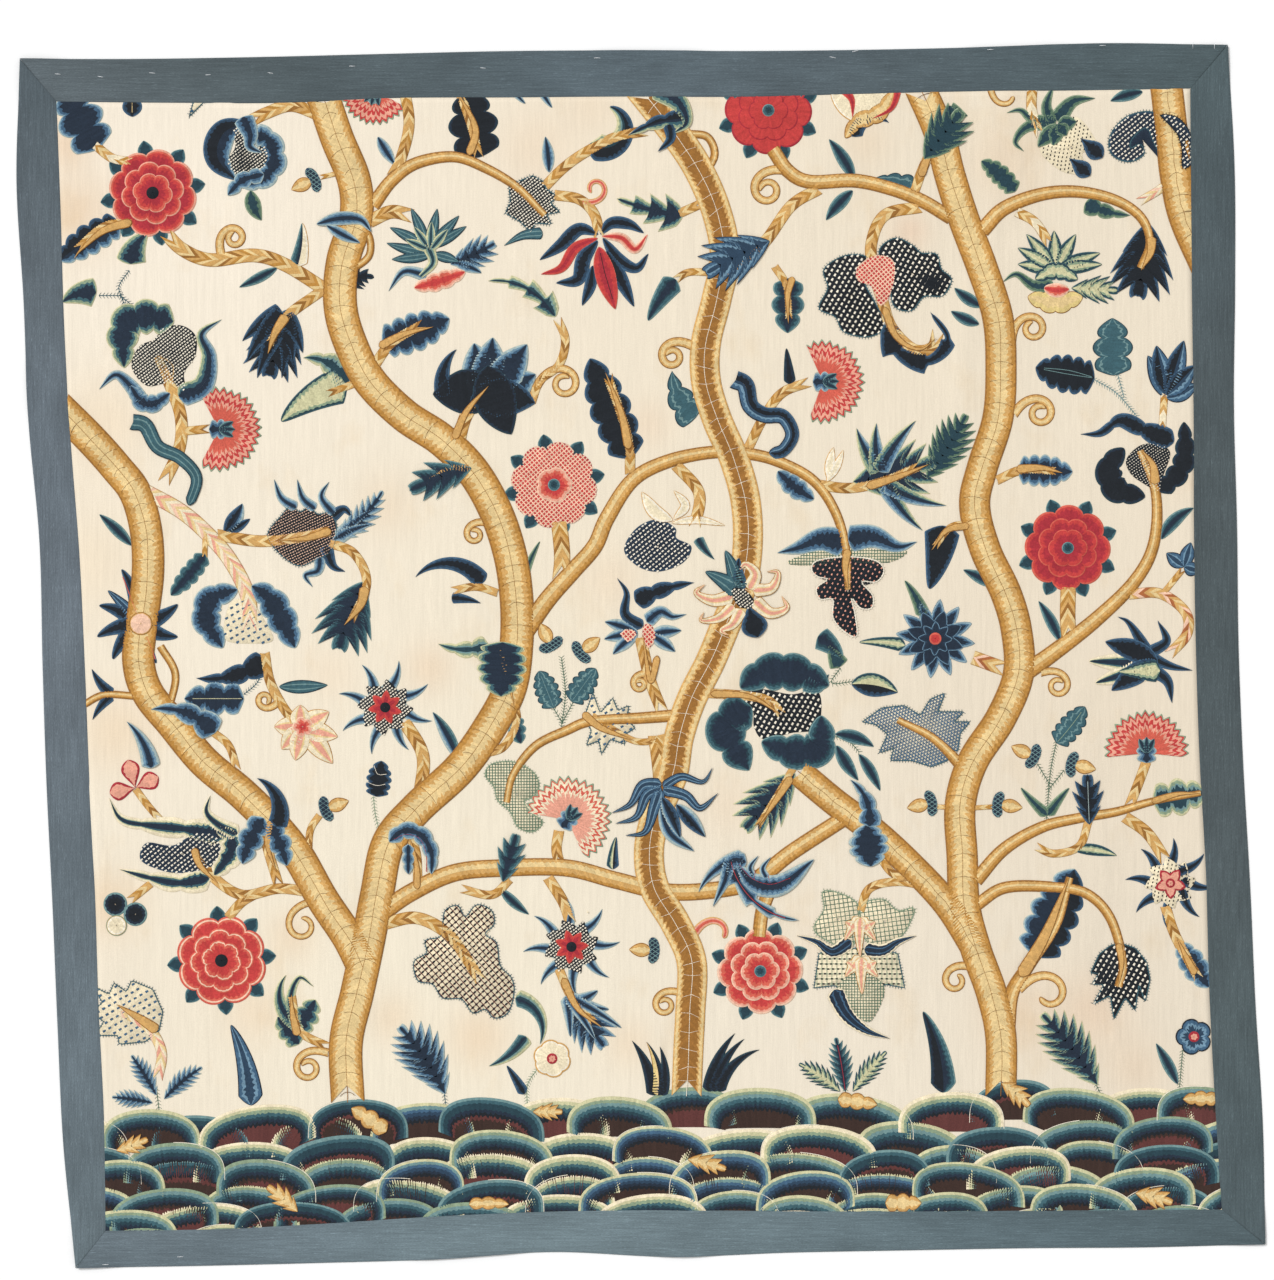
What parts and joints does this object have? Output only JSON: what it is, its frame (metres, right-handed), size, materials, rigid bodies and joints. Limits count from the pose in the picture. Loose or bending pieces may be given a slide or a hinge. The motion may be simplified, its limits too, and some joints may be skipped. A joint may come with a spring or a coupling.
{
  "type": "crewel embroidery panel",
  "caption": "Near-square crewel-embroidered cloth panel, flowering trees over hillocks on a cream ground, in a mitred border of ribbed blue-grey cloth, laid face up.",
  "frame": {"origin": "the middle of the outline's bounding box, on the surface that the panel lies on", "axes": "+X towards the panel's right edge, +Y towards its top edge, +Z out of its embroidered face"},
  "size_m": [1.9984, 1.9602, 0.0086],
  "materials": {
    "embroidered_ground": "cream twill with coloured wool embroidery, matt",
    "ribbed_border": "ribbed slate-blue cloth, matt"
  },
  "bodies": {
    "root": {"ground": "embroidered_ground", "border_top": "ribbed_border", "border_bottom": "ribbed_border", "border_left": "ribbed_border", "border_right": "ribbed_border"}
  },
  "joints": []
}
